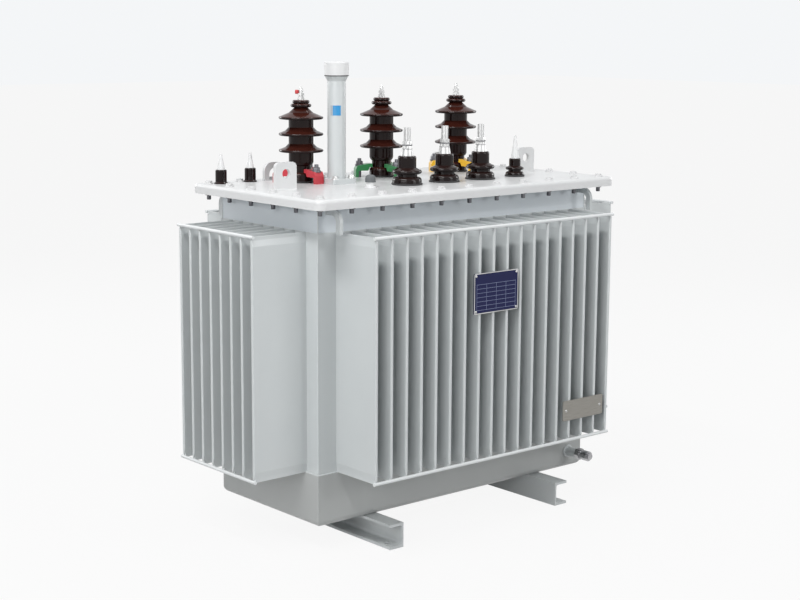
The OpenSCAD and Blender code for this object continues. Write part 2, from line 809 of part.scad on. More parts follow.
module filler_tube() {
    r = filler_d / 2;
    collar_z = filler_h - filler_collar_h;
    color(tank_paint) filler_place() difference() {
        union() {
            rounded_plate(filler_flange_w, filler_flange_w, filler_flange_r, filler_flange_t);
            cylinder(r = r, h = filler_h);
            translate([0, 0, collar_z])
                cylinder(r1 = r, r2 = (r + 3 * filler_cap_r) / 4, h = filler_collar_h);
        }
        translate([0, 0, filler_flange_t]) cylinder(r = r - filler_wall, h = filler_h);
    }
}

// A slightly tapered cap with a bevelled top
module filler_cap() {
    side_h = filler_cap_h - filler_cap_bevel;
    color(white_plastic) filler_place() translate([0, 0, filler_h]) {
        cylinder(r1 = 0.95 * filler_cap_r, r2 = filler_cap_r, h = side_h);
        translate([0, 0, side_h])
            cylinder(r1 = filler_cap_r, r2 = filler_cap_r - filler_cap_bevel, h = filler_cap_bevel);
    }
}

module pocket_place() { translate([pocket_x, lv_y, cover_z]) children(); }

module thermometer_pocket() {
    color(white_plastic) pocket_place() {
        cylinder(r = 1.15 * pocket_cap_r, h = pocket_h / 3);
        cylinder(r = 0.8 * pocket_cap_r, h = pocket_h);
    }
}

module thermometer_cap() {
    dome = pocket_cap_r * 0.7;
    color(rubber_grey) pocket_place() translate([0, 0, pocket_h]) rotate_extrude() {
        square([pocket_cap_r, dome]);
        square([pocket_cap_r - dome, 2 * dome]);
        intersection() {
            translate([pocket_cap_r - dome, dome]) circle(dome);
            square(2 * pocket_cap_r);
        }
    }
}

// Drain

module drain_place() {
    translate([drain_x, -front_y - pan_step, pan_z + drain_z]) rotate([90, 0, 0]) children();
}

module drain_stub() {
    color(tank_paint) drain_place() {
        cylinder(d = drain_d, h = drain_l);
        cylinder(d = drain_pad_d, h = drain_pad_t);
    }
}

// A nut, a neck, a round head and a stem that ends just past it
module drain_valve() {
    nut_l = 0.3 * valve_l;
    head_z = 0.5 * valve_l;
    head_l = 0.38 * valve_l;
    color(valve_metal) drain_place() translate([0, 0, drain_l]) {
        cylinder(d = 1.3 * drain_d, h = nut_l, $fn = 6);
        cylinder(d = 0.85 * drain_d, h = head_z);
        translate([0, 0, head_z]) cylinder(d = 1.08 * drain_d, h = head_l);
        cylinder(d = 0.7 * drain_d, h = valve_l);
    }
}

// Plates on the front fins

module fin_plate(x, z, h) {
    translate([x, -fin_front_y, z]) rotate([90, 0, 0]) rounded_plate(plate_w, h, plate_corner_r, plate_t);
}

module nameplate() { color(name_blue) fin_plate(name_x, name_z, name_h); }
module lower_plate() { color(plate_grey) fin_plate(lower_x, lower_z, lower_h); }

base_channel_left();
base_channel_right();
tank_base();
corrugated_wall_front();
corrugated_wall_back();
corrugated_wall_left();
corrugated_wall_right();
fin_tie_bars_front();
fin_tie_bars_back();
fin_tie_bars_left();
fin_tie_bars_right();
tank_neck();
tank_rim();
cover();
tank_hooks_front();
tank_hooks_back();
cover_lugs();
arch_lugs();
hv_bushing_left();
hv_bushing_middle();
hv_bushing_right();
hv_clamps_left();
hv_clamps_middle();
hv_clamps_right();
hv_terminal_left();
hv_terminal_middle();
hv_terminal_right();
lv_bushing_1();
lv_bushing_2();
lv_bushing_3();
lv_bushing_neutral();
lv_terminal_1();
lv_terminal_2();
lv_terminal_3();
lv_terminal_neutral();
small_bushings();
small_bushing_cones();
filler_tube();
filler_cap();
thermometer_pocket();
thermometer_cap();
drain_stub();
drain_valve();
nameplate();
lower_plate();
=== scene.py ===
# %% [markdown]
# # An oil-filled power transformer
# The tank, fins, bushings and lugs arrive as finished solids. This lesson dresses them: it sets up the
# camera, mixes a finish for every surface, models the small parts that hold the transformer together, such
# as bolts, nuts, welds, gaskets and labels, and ends with a plain studio.

# %% Load the frame
import math

import bmesh
import bpy
from mathutils import Matrix, Vector


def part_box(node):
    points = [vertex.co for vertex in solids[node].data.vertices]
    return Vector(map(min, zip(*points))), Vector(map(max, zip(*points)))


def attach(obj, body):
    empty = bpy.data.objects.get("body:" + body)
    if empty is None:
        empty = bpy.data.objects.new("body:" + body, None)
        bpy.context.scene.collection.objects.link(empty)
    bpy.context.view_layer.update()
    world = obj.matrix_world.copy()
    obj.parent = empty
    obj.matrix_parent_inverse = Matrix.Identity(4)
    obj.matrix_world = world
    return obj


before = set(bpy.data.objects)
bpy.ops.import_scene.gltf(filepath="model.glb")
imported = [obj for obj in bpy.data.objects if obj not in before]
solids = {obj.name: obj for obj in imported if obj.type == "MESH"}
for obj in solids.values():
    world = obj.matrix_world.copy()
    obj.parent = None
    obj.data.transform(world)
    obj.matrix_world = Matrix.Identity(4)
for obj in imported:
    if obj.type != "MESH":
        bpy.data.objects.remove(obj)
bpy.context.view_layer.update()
scene = bpy.context.scene
scene.view_settings.view_transform = "Standard"

# %% [markdown]
# ## Camera
# A product picture is taken from a little above the cover, looking at a corner. A constraint could aim the
# camera, but where it stands and how it is turned decide the perspective, so both are written as plain
# sizes: a place in metres, a heading, a tilt and a slight roll in degrees, and the lens in millimetres.

# %% Camera
CAMERA_PLACE = (-2.902, -3.357, 1.348)
CAMERA_HEADING = 40.52
CAMERA_TILT = 9.75
CAMERA_ROLL = 0.34
CAMERA_LENS = 71.55
SENSOR_WIDTH = 36.0

camera_data = bpy.data.cameras.new("camera")
camera_data.lens = CAMERA_LENS
camera_data.sensor_width = SENSOR_WIDTH
camera = bpy.data.objects.new("camera", camera_data)
camera.location = CAMERA_PLACE
heading = Matrix.Rotation(math.radians(-CAMERA_HEADING), 4, "Z")
tilt = Matrix.Rotation(math.radians(90 - CAMERA_TILT), 4, "X")
roll = Matrix.Rotation(math.radians(CAMERA_ROLL), 4, "Z")
camera.rotation_euler = (heading @ tilt @ roll).to_euler()
scene.collection.objects.link(camera)
scene.camera = camera
print("camera", CAMERA_PLACE, "lens", CAMERA_LENS)

# %% [markdown]
# ## Building node trees
# Every finish below is a small graph of nodes. It could be clicked together in the Shader Editor, but a few
# helpers build it in short lines, and the same way each time. They add a node, join two sockets, feed a
# socket with a number or a link, and open a shader group with named inputs and outputs.

# %% Node helpers
def add_node(tree, kind, inputs=None, **settings):
    node = tree.nodes.new(kind)
    for name, value in settings.items():
        setattr(node, name, value)
    for name, value in (inputs or {}).items():
        node.inputs[name].default_value = value
    return node


def join(tree, start, end):
    tree.links.new(start, end)


def feed(tree, value, socket):
    if isinstance(value, bpy.types.NodeSocket):
        join(tree, value, socket)
    else:
        socket.default_value = value


def new_group(name, inputs, outputs):
    group = bpy.data.node_groups.new(name, "ShaderNodeTree")
    for label, kind, value in inputs:
        socket = group.interface.new_socket(label, in_out="INPUT", socket_type=kind)
        socket.default_value = value
    for label, kind in outputs:
        group.interface.new_socket(label, in_out="OUTPUT", socket_type=kind)
    return group, add_node(group, "NodeGroupInput"), add_node(group, "NodeGroupOutput")


print("node helpers ready")

# %% [markdown]
# ## Masks and colours
# Wear, stains and grain are masks: a noise, stretched until only its clouds or its peaks are left, mixes two
# colours or sets the gloss. An image could be painted for each, but a noise needs no unwrapping and never
# repeats. These helpers read a noise on the object, stretch it, mix colours by it and do sums with it.

# %% Mask helpers
# A Mix node lists the sockets of every data type, so those for colours are found by number.
MIX_FACTOR, MIX_FIRST, MIX_SECOND, MIX_RESULT = 0, 6, 7, 2


def noise_on_object(tree, scale, detail=3.0, roughness=0.5):
    place = add_node(tree, "ShaderNodeTexCoord")
    noise = add_node(tree, "ShaderNodeTexNoise", {"Detail": detail, "Roughness": roughness})
    feed(tree, scale, noise.inputs["Scale"])
    join(tree, place.outputs["Object"], noise.inputs["Vector"])
    return noise.outputs["Fac"]


def spread(tree, value, source, target=(0.0, 1.0)):
    node = add_node(tree, "ShaderNodeMapRange", clamp=True)
    for name, number in zip(("From Min", "From Max", "To Min", "To Max"), (*source, *target)):
        feed(tree, number, node.inputs[name])
    join(tree, value, node.inputs["Value"])
    return node.outputs["Result"]


def mix_colour(tree, mask, first, second):
    node = add_node(tree, "ShaderNodeMix", data_type="RGBA")
    for value, socket in ((mask, MIX_FACTOR), (first, MIX_FIRST), (second, MIX_SECOND)):
        feed(tree, value, node.inputs[socket])
    return node.outputs[MIX_RESULT]


def calculate(tree, operation, first, second):
    node = add_node(tree, "ShaderNodeMath", operation=operation)
    feed(tree, first, node.inputs[0])
    feed(tree, second, node.inputs[1])
    return node.outputs[0]


def product(tree, first, *others):
    for other in others:
        first = calculate(tree, "MULTIPLY", first, other)
    return first


print("mask helpers ready")

# %% [markdown]
# ## Sprayed paint
# Sprayed paint is never one flat colour. It has a fine orange peel, and cloudy patches where the coats
# differ in tone and gloss. These nodes could be repeated in each material, but a node group is built once,
# and every paint then uses the same recipe with its own values.

# %% Sprayed paint group
# Noise stays near its middle, so a mask is read between two values close to a half.
NOISE_MIDDLE = (0.3, 0.7)
NOISE_CLOUDS = (0.35, 0.75)
SMEAR_SCALE = 14.0
PEEL_SCALE = 420.0
WAVE_SCALE = 34.0
PEEL_SHARE = 0.35


def make_sprayed_paint():
    group, given, result = new_group(
        "sprayed_paint",
        [("Color", "NodeSocketColor", (0.6, 0.6, 0.6, 1)),
         ("Patch Color", "NodeSocketColor", (0.5, 0.5, 0.5, 1)),
         ("Patch Scale", "NodeSocketFloat", 3.0),
         ("Gloss Low", "NodeSocketFloat", 0.3),
         ("Gloss High", "NodeSocketFloat", 0.45)],
        [("Color", "NodeSocketColor"), ("Roughness", "NodeSocketFloat"), ("Height", "NodeSocketFloat")],
    )
    patches = noise_on_object(group, given.outputs["Patch Scale"], detail=4.0, roughness=0.6)
    mask = spread(group, patches, NOISE_CLOUDS)
    colour = mix_colour(group, mask, given.outputs["Color"], given.outputs["Patch Color"])
    join(group, colour, result.inputs["Color"])
    smears = noise_on_object(group, SMEAR_SCALE, detail=5.0, roughness=0.65)
    gloss_range = (given.outputs["Gloss Low"], given.outputs["Gloss High"])
    join(group, spread(group, smears, NOISE_MIDDLE, gloss_range), result.inputs["Roughness"])
    peel = product(group, noise_on_object(group, PEEL_SCALE, detail=2.0), PEEL_SHARE)
    waves = product(group, noise_on_object(group, WAVE_SCALE, detail=2.0), 1 - PEEL_SHARE)
    join(group, calculate(group, "ADD", peel, waves), result.inputs["Height"])
    return group


SPRAYED_PAINT = make_sprayed_paint()
print("group", SPRAYED_PAINT.name)

# %% [markdown]
# ## Worn edges
# A coat is thin on an edge and rubs off there first, which leaves a lighter line. The lines could be painted
# by hand, but a Bevel node finds them: where its rounded normal turns away from the true one is an edge.

# %% Edge mask group
EDGE_TURN = (0.75, 0.98)


def make_edge_mask():
    group, given, result = new_group(
        "edge_mask",
        [("Radius", "NodeSocketFloat", 0.003), ("Strength", "NodeSocketFloat", 1.0)],
        [("Mask", "NodeSocketFloat")],
    )
    bevel = add_node(group, "ShaderNodeBevel", samples=4)
    join(group, given.outputs["Radius"], bevel.inputs["Radius"])
    surface = add_node(group, "ShaderNodeNewGeometry")
    turn = add_node(group, "ShaderNodeVectorMath", operation="DOT_PRODUCT")
    join(group, bevel.outputs["Normal"], turn.inputs[0])
    join(group, surface.outputs["Normal"], turn.inputs[1])
    sharp = spread(group, turn.outputs["Value"], EDGE_TURN, (1.0, 0.0))
    gaps = noise_on_object(group, scale=60.0, detail=4.0)
    broken = spread(group, gaps, NOISE_MIDDLE, (0.4, 1.0))
    join(group, product(group, sharp, broken, given.outputs["Strength"]), result.inputs["Mask"])
    return group


EDGE_MASK = make_edge_mask()
print("group", EDGE_MASK.name)

# %% [markdown]
# ## Settled dust
# Dust settles on whatever faces up. How far a normal points up tells which faces those are, so nothing has
# to be painted by hand, and a noise breaks the layer into speckles.

# %% Settled dust group
FACES_UP = (0.4, 0.95)


def upward_part(tree):
    surface = add_node(tree, "ShaderNodeNewGeometry")
    split = add_node(tree, "ShaderNodeSeparateXYZ")
    join(tree, surface.outputs["Normal"], split.inputs[0])
    return split.outputs["Z"]


def make_settled_dust():
    group, given, result = new_group(
        "settled_dust",
        [("Color", "NodeSocketColor", (0.6, 0.6, 0.6, 1)),
         ("Dust Color", "NodeSocketColor", (0.7, 0.69, 0.66, 1)),
         ("Amount", "NodeSocketFloat", 0.2)],
        [("Color", "NodeSocketColor")],
    )
    upward = spread(group, upward_part(group), FACES_UP)
    speckle = noise_on_object(group, scale=9.0, detail=6.0, roughness=0.7)
    layer = spread(group, speckle, (0.35, 0.7), (0.1, 1.0))
    mask = product(group, upward, layer, given.outputs["Amount"])
    dusty = mix_colour(group, mask, given.outputs["Color"], given.outputs["Dust Color"])
    join(group, dusty, result.inputs["Color"])
    return group


SETTLED_DUST = make_settled_dust()
print("group", SETTLED_DUST.name)

# %% [markdown]
# ## Opening a material
# A new material comes with a Principled shader, which stays in the material itself, while groups only feed
# its sockets. Grain could be modelled, but it is far too fine, so it goes in as bump.

# %% Material helpers
def group_node(tree, group, values):
    return add_node(tree, "ShaderNodeGroup", values, node_tree=group)


def new_material(name):
    material = bpy.data.materials.new(name)
    material.use_nodes = True
    tree = material.node_tree
    return material, tree, tree.nodes["Principled BSDF"]


def bump_into(tree, shader, height, strength, distance):
    bump = add_node(tree, "ShaderNodeBump", {"Strength": strength, "Distance": distance})
    join(tree, height, bump.inputs["Height"])
    join(tree, bump.outputs["Normal"], shader.inputs["Normal"])


print("material helpers ready")

# %% [markdown]
# ## Painted metal
# All the painted steel is sprayed, so one recipe makes every paint: the groups feed the colour, roughness
# and bump. A low roughness alone would look like enamel, so a weak coat over a duller base gives the
# semi-gloss of two-part paint.

# %% Painted metal
PATCH_SCALE = 3.5
EDGE_STRENGTH = 0.7
COAT_ROUGHNESS = 0.12


def painted_metal(name, colour, patch, edge, gloss=(0.30, 0.44), dust=0.12, coat=0.15, edge_radius=0.0025):
    material, tree, shader = new_material(name)
    paint = group_node(tree, SPRAYED_PAINT, {
        "Color": (*colour, 1), "Patch Color": (*patch, 1), "Patch Scale": PATCH_SCALE,
        "Gloss Low": gloss[0], "Gloss High": gloss[1]})
    dusty = group_node(tree, SETTLED_DUST, {"Amount": dust})
    join(tree, paint.outputs["Color"], dusty.inputs["Color"])
    edges = group_node(tree, EDGE_MASK, {"Radius": edge_radius, "Strength": EDGE_STRENGTH})
    worn = mix_colour(tree, edges.outputs["Mask"], dusty.outputs["Color"], (*edge, 1))
    join(tree, worn, shader.inputs["Base Color"])
    join(tree, paint.outputs["Roughness"], shader.inputs["Roughness"])
    bump_into(tree, shader, paint.outputs["Height"], strength=0.12, distance=0.0006)
    shader.inputs["Coat Weight"].default_value = coat
    shader.inputs["Coat Roughness"].default_value = COAT_ROUGHNESS
    return material


print("paint recipe ready")

# %% [markdown]
# ## The paints
# The tank is a light cool grey. The cover is an off-white, lighter than the tank, which paints the light on
# its top, and its bolt heads get a darker copy, a painted shade that sets them apart. The lower tank is a
# darker grey, a painted shade, the neck a lighter bluish one, painted light on its front, and the tie rods a
# lighter one, a painted highlight. The clamps carry the colours of the three phases, and get more coat,
# because they are glossier.

# %% Paints
tank_grey = painted_metal(
    "tank_grey", colour=(0.553, 0.580, 0.584), patch=(0.528, 0.556, 0.563), edge=(0.66, 0.680, 0.682))
# Lighter than the tank paint: the extra lightness is painted light falling on the cover's top.
cover_lit_white = painted_metal(
    "cover_lit_white", colour=(0.660, 0.665, 0.668), patch=(0.630, 0.638, 0.644), edge=(0.74, 0.745, 0.745),
    dust=0.05)
# A darker copy of the cover paint: painted shade that sets the bolt heads apart from the cover.
bolt_shaded_white = painted_metal(
    "bolt_shaded_white", colour=(0.600, 0.604, 0.606), patch=(0.575, 0.580, 0.584), edge=(0.62, 0.624, 0.625),
    gloss=(0.40, 0.55), coat=0.0, edge_radius=0.0010)
# Darker than the tank paint: painted shade on the lower tank. Its wider, lighter edge is a painted highlight
# on the corners.
pan_shaded_grey = painted_metal(
    "pan_shaded_grey", colour=(0.395, 0.408, 0.404), patch=(0.370, 0.383, 0.380), edge=(0.64, 0.650, 0.645),
    edge_radius=0.004)
# Lighter and bluer than the tank paint: painted light on the neck's front under the cover.
neck_lit_grey = painted_metal(
    "neck_lit_grey", colour=(0.650, 0.694, 0.728), patch=(0.620, 0.666, 0.702), edge=(0.74, 0.775, 0.795))
# Lighter than the tank paint: a painted highlight on the tie rods.
rod_lit_grey = painted_metal(
    "rod_lit_grey", colour=(0.680, 0.700, 0.705), patch=(0.650, 0.674, 0.682), edge=(0.76, 0.77, 0.77))
clamp_red = painted_metal(
    "clamp_red", colour=(0.560, 0.030, 0.048), patch=(0.470, 0.022, 0.036), edge=(0.72, 0.12, 0.13),
    coat=0.4)
clamp_green = painted_metal(
    "clamp_green", colour=(0.022, 0.220, 0.062), patch=(0.016, 0.180, 0.050), edge=(0.10, 0.34, 0.15),
    coat=0.4)
clamp_yellow = painted_metal(
    "clamp_yellow", colour=(0.820, 0.470, 0.016), patch=(0.760, 0.420, 0.012), edge=(0.90, 0.62, 0.12),
    coat=0.4)
print("paints", tank_grey.name, cover_lit_white.name, clamp_red.name, clamp_green.name, clamp_yellow.name)

# %% [markdown]
# ## Glazed porcelain
# Bushings are fired porcelain under a brown glaze. The glaze runs before it sets, so it is thinner and
# redder on the rims. The normal's slope mixes two tones as well: lighter and redder on upward faces, a
# painted light on the tops of the sheds, and darker on downward ones, a painted shade under them. A low
# roughness gives the wet highlights.

# %% Glazed porcelain
RUN_SHARE = 0.5
THIN_AND_LIT_SLOPES = (0.45, 1.25)
GLAZE_ROUGHNESS = (0.05, 0.11)
GLAZE_SPECULAR = 0.22


def glazed_porcelain(name, pooled_shaded, thinned_lit, rim_tone):
    material, tree, shader = new_material(name)
    runs = noise_on_object(tree, scale=26.0, detail=4.0, roughness=0.6)
    # Upward faces get the lighter tone and downward ones the darker: painted light on top, painted shade
    # underneath, broken by the runs.
    slope = calculate(tree, "ADD", upward_part(tree), product(tree, runs, RUN_SHARE))
    body = mix_colour(tree, spread(tree, slope, THIN_AND_LIT_SLOPES), (*pooled_shaded, 1), (*thinned_lit, 1))
    rims = group_node(tree, EDGE_MASK, {"Radius": 0.003, "Strength": 0.5})
    join(tree, mix_colour(tree, rims.outputs["Mask"], body, (*rim_tone, 1)), shader.inputs["Base Color"])
    rough = spread(tree, noise_on_object(tree, scale=40.0), NOISE_MIDDLE, GLAZE_ROUGHNESS)
    join(tree, rough, shader.inputs["Roughness"])
    bump_into(tree, shader, noise_on_object(tree, scale=60.0, detail=2.0), strength=0.16, distance=0.0010)
    shader.inputs["Specular IOR Level"].default_value = GLAZE_SPECULAR
    return material


brown_glaze = glazed_porcelain(
    "brown_glaze", pooled_shaded=(0.0115, 0.0042, 0.0036), thinned_lit=(0.050, 0.0120, 0.0078),
    rim_tone=(0.085, 0.030, 0.021))
dark_glaze = glazed_porcelain(
    "dark_glaze", pooled_shaded=(0.0085, 0.0046, 0.0044), thinned_lit=(0.022, 0.0095, 0.0080),
    rim_tone=(0.034, 0.018, 0.015))
print("glazes", brown_glaze.name, dark_glaze.name)

# %% [markdown]
# ## Bare and plated metal
# Studs and nuts are tinned or zinc plated, and turned on a lathe, so their scratches run round them. Such
# rings could be modelled, but they are far too fine. A noise that is squeezed along the height gives them.
# Valve and bolt steel is the same recipe in a darker tone.

# %% Metals
RING_SCALE = 70.0
RING_SQUEEZE = 14.0


def turned_metal(name, bright, dark, rough, metallic=1.0):
    material, tree, shader = new_material(name)
    place = add_node(tree, "ShaderNodeTexCoord")
    stretch = add_node(tree, "ShaderNodeMapping", {"Scale": (1.0, 1.0, RING_SQUEEZE)})
    join(tree, place.outputs["Object"], stretch.inputs["Vector"])
    noise = add_node(tree, "ShaderNodeTexNoise", {"Scale": RING_SCALE, "Detail": 4.0, "Roughness": 0.6})
    join(tree, stretch.outputs["Vector"], noise.inputs["Vector"])
    rings = noise.outputs["Fac"]
    stain = spread(tree, noise_on_object(tree, scale=22.0, detail=5.0), NOISE_CLOUDS)
    join(tree, mix_colour(tree, stain, (*bright, 1), (*dark, 1)), shader.inputs["Base Color"])
    join(tree, spread(tree, rings, NOISE_MIDDLE, rough), shader.inputs["Roughness"])
    bump_into(tree, shader, rings, strength=0.10, distance=0.0003)
    shader.inputs["Metallic"].default_value = metallic
    return material


tinned = turned_metal(
    "tinned", bright=(0.54, 0.54, 0.535), dark=(0.43, 0.43, 0.43), rough=(0.34, 0.50), metallic=0.9)
zinc_dark = turned_metal(
    "zinc_dark", bright=(0.16, 0.16, 0.17), dark=(0.09, 0.09, 0.10), rough=(0.32, 0.52))
valve_steel = turned_metal(
    "valve_steel", bright=(0.46, 0.46, 0.47), dark=(0.22, 0.22, 0.23), rough=(0.20, 0.36))
screw_steel = turned_metal(
    "screw_steel", bright=(0.62, 0.62, 0.61), dark=(0.42, 0.42, 0.42), rough=(0.28, 0.46))
print("metals", tinned.name, zinc_dark.name, valve_steel.name, screw_steel.name)

# %% [markdown]
# ## Plastic and rubber
# The filler cap and the pale cones are moulded plastic with a satin skin, the labels and the tag are plastic
# too, and the thermometer cap and the gaskets are rubber. All share a faint mottling and a fine grain, so
# one recipe serves, with the rubber duller and rougher.

# %% Plastic and rubber
SATIN = {"rough": (0.28, 0.40), "grain": 500.0, "bump": 0.08}
RUBBER_GRAIN = {"grain": 800.0, "bump": 0.2}
FILM = {"rough": (0.30, 0.42), "grain": 300.0, "bump": 0.05}


def moulded(name, colour, shade, rough, grain, bump):
    material, tree, shader = new_material(name)
    mottle = spread(tree, noise_on_object(tree, scale=18.0, detail=4.0), (0.35, 0.7))
    edges = group_node(tree, EDGE_MASK, {"Radius": 0.002, "Strength": 0.25})
    body = mix_colour(tree, mottle, (*colour, 1), (*shade, 1))
    pale = tuple(min(1.0, 1.15 * channel + 0.02) for channel in colour)
    join(tree, mix_colour(tree, edges.outputs["Mask"], body, (*pale, 1)), shader.inputs["Base Color"])
    satin = spread(tree, noise_on_object(tree, scale=30.0), NOISE_MIDDLE, rough)
    join(tree, satin, shader.inputs["Roughness"])
    bump_into(tree, shader, noise_on_object(tree, grain, detail=2.0), strength=bump, distance=0.0004)
    return material


white_satin = moulded("white_satin", colour=(0.700, 0.705, 0.708), shade=(0.665, 0.672, 0.676), **SATIN)
grey_rubber = moulded(
    "grey_rubber", colour=(0.130, 0.140, 0.146), shade=(0.10, 0.108, 0.112), rough=(0.55, 0.75),
    **RUBBER_GRAIN)
black_rubber = moulded(
    "black_rubber", colour=(0.022, 0.022, 0.023), shade=(0.016, 0.016, 0.017), rough=(0.6, 0.8),
    **RUBBER_GRAIN)
label_blue = moulded("label_blue", colour=(0.035, 0.270, 0.560), shade=(0.028, 0.235, 0.510), **FILM)
label_grey = moulded("label_grey", colour=(0.40, 0.43, 0.46), shade=(0.36, 0.39, 0.42), **FILM)
tag_red = moulded("tag_red", colour=(0.55, 0.035, 0.040), shade=(0.46, 0.026, 0.030), **FILM)
print("plastics", white_satin.name, grey_rubber.name, black_rubber.name, label_blue.name, tag_red.name)

# %% [markdown]
# ## Ruled table
# The nameplate carries a ruled table whose cells are bare. The rules could be modelled, but they are flat and
# less than a millimetre wide, so they are drawn as a mask: each coordinate, counted from the plate's corner,
# is cut into rows or columns, and what lies outside the table is left out.

# %% Ruled table
RULE_WIDTH = 0.0009
TABLE_RIM = 0.010
TABLE_HEADROOM = 0.030
TABLE_ROWS = 6
TABLE_COLUMNS = 4


def rule_mask(tree, along, pitch):
    shifted = calculate(tree, "ADD", along, -TABLE_RIM)
    cell = calculate(tree, "PINGPONG", shifted, pitch / 2)
    return calculate(tree, "LESS_THAN", cell, RULE_WIDTH / 2)


def inside(tree, along, low, high):
    above = calculate(tree, "GREATER_THAN", along, low - RULE_WIDTH)
    below = calculate(tree, "LESS_THAN", along, high + RULE_WIDTH)
    return product(tree, above, below)


def ruled_table(tree, from_corner, wide, tall):
    split = add_node(tree, "ShaderNodeSeparateXYZ")
    join(tree, from_corner.outputs["Vector"], split.inputs[0])
    x, z = split.outputs["X"], split.outputs["Z"]
    right, top = wide - TABLE_RIM, tall - TABLE_HEADROOM
    rows = rule_mask(tree, z, (top - TABLE_RIM) / TABLE_ROWS)
    columns = rule_mask(tree, x, (right - TABLE_RIM) / TABLE_COLUMNS)
    lines = calculate(tree, "MAXIMUM", rows, columns)
    return product(tree, lines, inside(tree, x, TABLE_RIM, right), inside(tree, z, TABLE_RIM, top))


print("table of", TABLE_ROWS, "rows and", TABLE_COLUMNS, "columns")

# %% [markdown]
# ## Plates
# The nameplate is anodised blue and the lower plate plain metal, and both are brushed along their length. A
# Mapping node puts the plate's corner at zero, so that the table follows the plate, and a second one draws a
# noise out into scratches. Real scratches are too fine to model.

# %% Plates
RULE_COLOUR = (0.20, 0.23, 0.36, 1)
BRUSH_STRETCH = (0.03, 1.0, 1.0)


def brushed_plate(name, colour, shade, node, ruled):
    material, tree, shader = new_material(name)
    low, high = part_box(node)
    place = add_node(tree, "ShaderNodeTexCoord")
    from_corner = add_node(tree, "ShaderNodeMapping", {"Location": (-low.x, -low.y, -low.z)})
    join(tree, place.outputs["Object"], from_corner.inputs["Vector"])
    brush = add_node(tree, "ShaderNodeMapping", {"Scale": BRUSH_STRETCH})
    join(tree, from_corner.outputs["Vector"], brush.inputs["Vector"])
    noise = add_node(tree, "ShaderNodeTexNoise", {"Scale": 900.0, "Detail": 3.0})
    join(tree, brush.outputs["Vector"], noise.inputs["Vector"])
    scratches = noise.outputs["Fac"]
    body = mix_colour(tree, spread(tree, scratches, NOISE_MIDDLE), (*colour, 1), (*shade, 1))
    if ruled:
        table = ruled_table(tree, from_corner, high.x - low.x, high.z - low.z)
        body = mix_colour(tree, table, body, RULE_COLOUR)
    join(tree, body, shader.inputs["Base Color"])
    join(tree, spread(tree, scratches, NOISE_MIDDLE, (0.30, 0.46)), shader.inputs["Roughness"])
    bump_into(tree, shader, scratches, strength=0.10, distance=0.0002)
    shader.inputs["Metallic"].default_value = 0.35
    shader.inputs["Specular IOR Level"].default_value = 0.30
    return material


plate_blue = brushed_plate(
    "plate_blue", colour=(0.006, 0.009, 0.060), shade=(0.005, 0.007, 0.048), node="nameplate", ruled=True)
plate_taupe = brushed_plate(
    "plate_taupe", colour=(0.300, 0.288, 0.262), shade=(0.240, 0.230, 0.208), node="lower_plate", ruled=False)
print("plates", plate_blue.name, plate_taupe.name)

# %% [markdown]
# ## Dress the solids
# Each solid carries the name of the real part, so a short table from the first words of a name to a finish
# dresses all of them. The longest match wins, which lets one part differ from its family.

# %% Dress the solids
FINISHES = {
    "": tank_grey, "tank_base": pan_shaded_grey,
    "tank_neck": neck_lit_grey, "tank_rim": neck_lit_grey, "fin_tie_bars": rod_lit_grey,
    "cover": cover_lit_white, "arch_lugs": cover_lit_white,
    "hv_bushing": brown_glaze, "lv_bushing": dark_glaze, "small_bushings": dark_glaze,
    "hv_clamps_left": clamp_red, "hv_clamps_middle": clamp_green, "hv_clamps_right": clamp_yellow,
    "hv_terminal": tinned, "lv_terminal": tinned, "lv_terminal_neutral": white_satin,
    "small_bushing_cones": white_satin, "filler_cap": white_satin, "thermometer_pocket": white_satin,
    "thermometer_cap": grey_rubber, "drain_valve": valve_steel,
    "nameplate": plate_blue, "lower_plate": plate_taupe,
}
for name, solid in solids.items():
    start = max((word for word in FINISHES if name.startswith(word)), key=len)
    solid.data.materials.clear()
    solid.data.materials.append(FINISHES[start])
print("dressed", len(solids), "solids")

# %% [markdown]
# ## Making pieces
# Small parts are modelled with bmesh operators. A finished mesh gets clean normals and smooth shading with
# sharp edges kept, then it is hung on the object's one body and told which paint or metal it belongs to.
# Most fasteners are stacks of drums, so one helper makes a drum and rounds its upper rim.

# %% Piece helpers
SHARP_ANGLE = math.radians(35)
SAME_LEVEL = 1e-6
made = []


def finish_piece(name, bm, material):
    bmesh.ops.recalc_face_normals(bm, faces=bm.faces)
    mesh = bpy.data.meshes.new(name)
    bm.to_mesh(mesh)
    bm.free()
    mesh.materials.append(material)
    mesh.shade_smooth()
    mesh.set_sharp_from_angle(angle=SHARP_ANGLE)
    piece = bpy.data.objects.new(name, mesh)
    scene.collection.objects.link(piece)
    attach(piece, "root")
    made.append(piece)
    print(name, len(mesh.polygons), "faces")


def edges_of(verts):
    return list(dict.fromkeys(edge for vert in verts for edge in vert.link_edges))


def only(geom, kind):
    return [item for item in geom if isinstance(item, kind)]


def upright(place, turn):
    return Matrix.Translation(place) @ Matrix.Rotation(turn, 4, "Z")


def sized(place, size):
    return Matrix.Translation(place) @ Matrix.Diagonal((*size, 1))


def drum(bm, matrix, low, high, radius, sides, bevel=0.0, taper=1.0):
    shape = bmesh.ops.create_cone(
        bm, cap_ends=True, cap_tris=False, segments=sides, radius1=radius, radius2=radius * taper,
        depth=high - low, matrix=matrix @ Matrix.Translation((0, 0, (low + high) / 2)))
    if bevel:
        top = matrix @ Vector((0, 0, high))
        axis = (matrix.to_3x3() @ Vector((0, 0, 1))).normalized()
        rim = [edge for edge in edges_of(shape["verts"])
               if all(abs((end.co - top).dot(axis)) < SAME_LEVEL for end in edge.verts)]
        bmesh.ops.bevel(bm, geom=rim, offset=bevel, affect="EDGES", segments=2, profile=0.5, material=-1)


print("piece helpers ready")

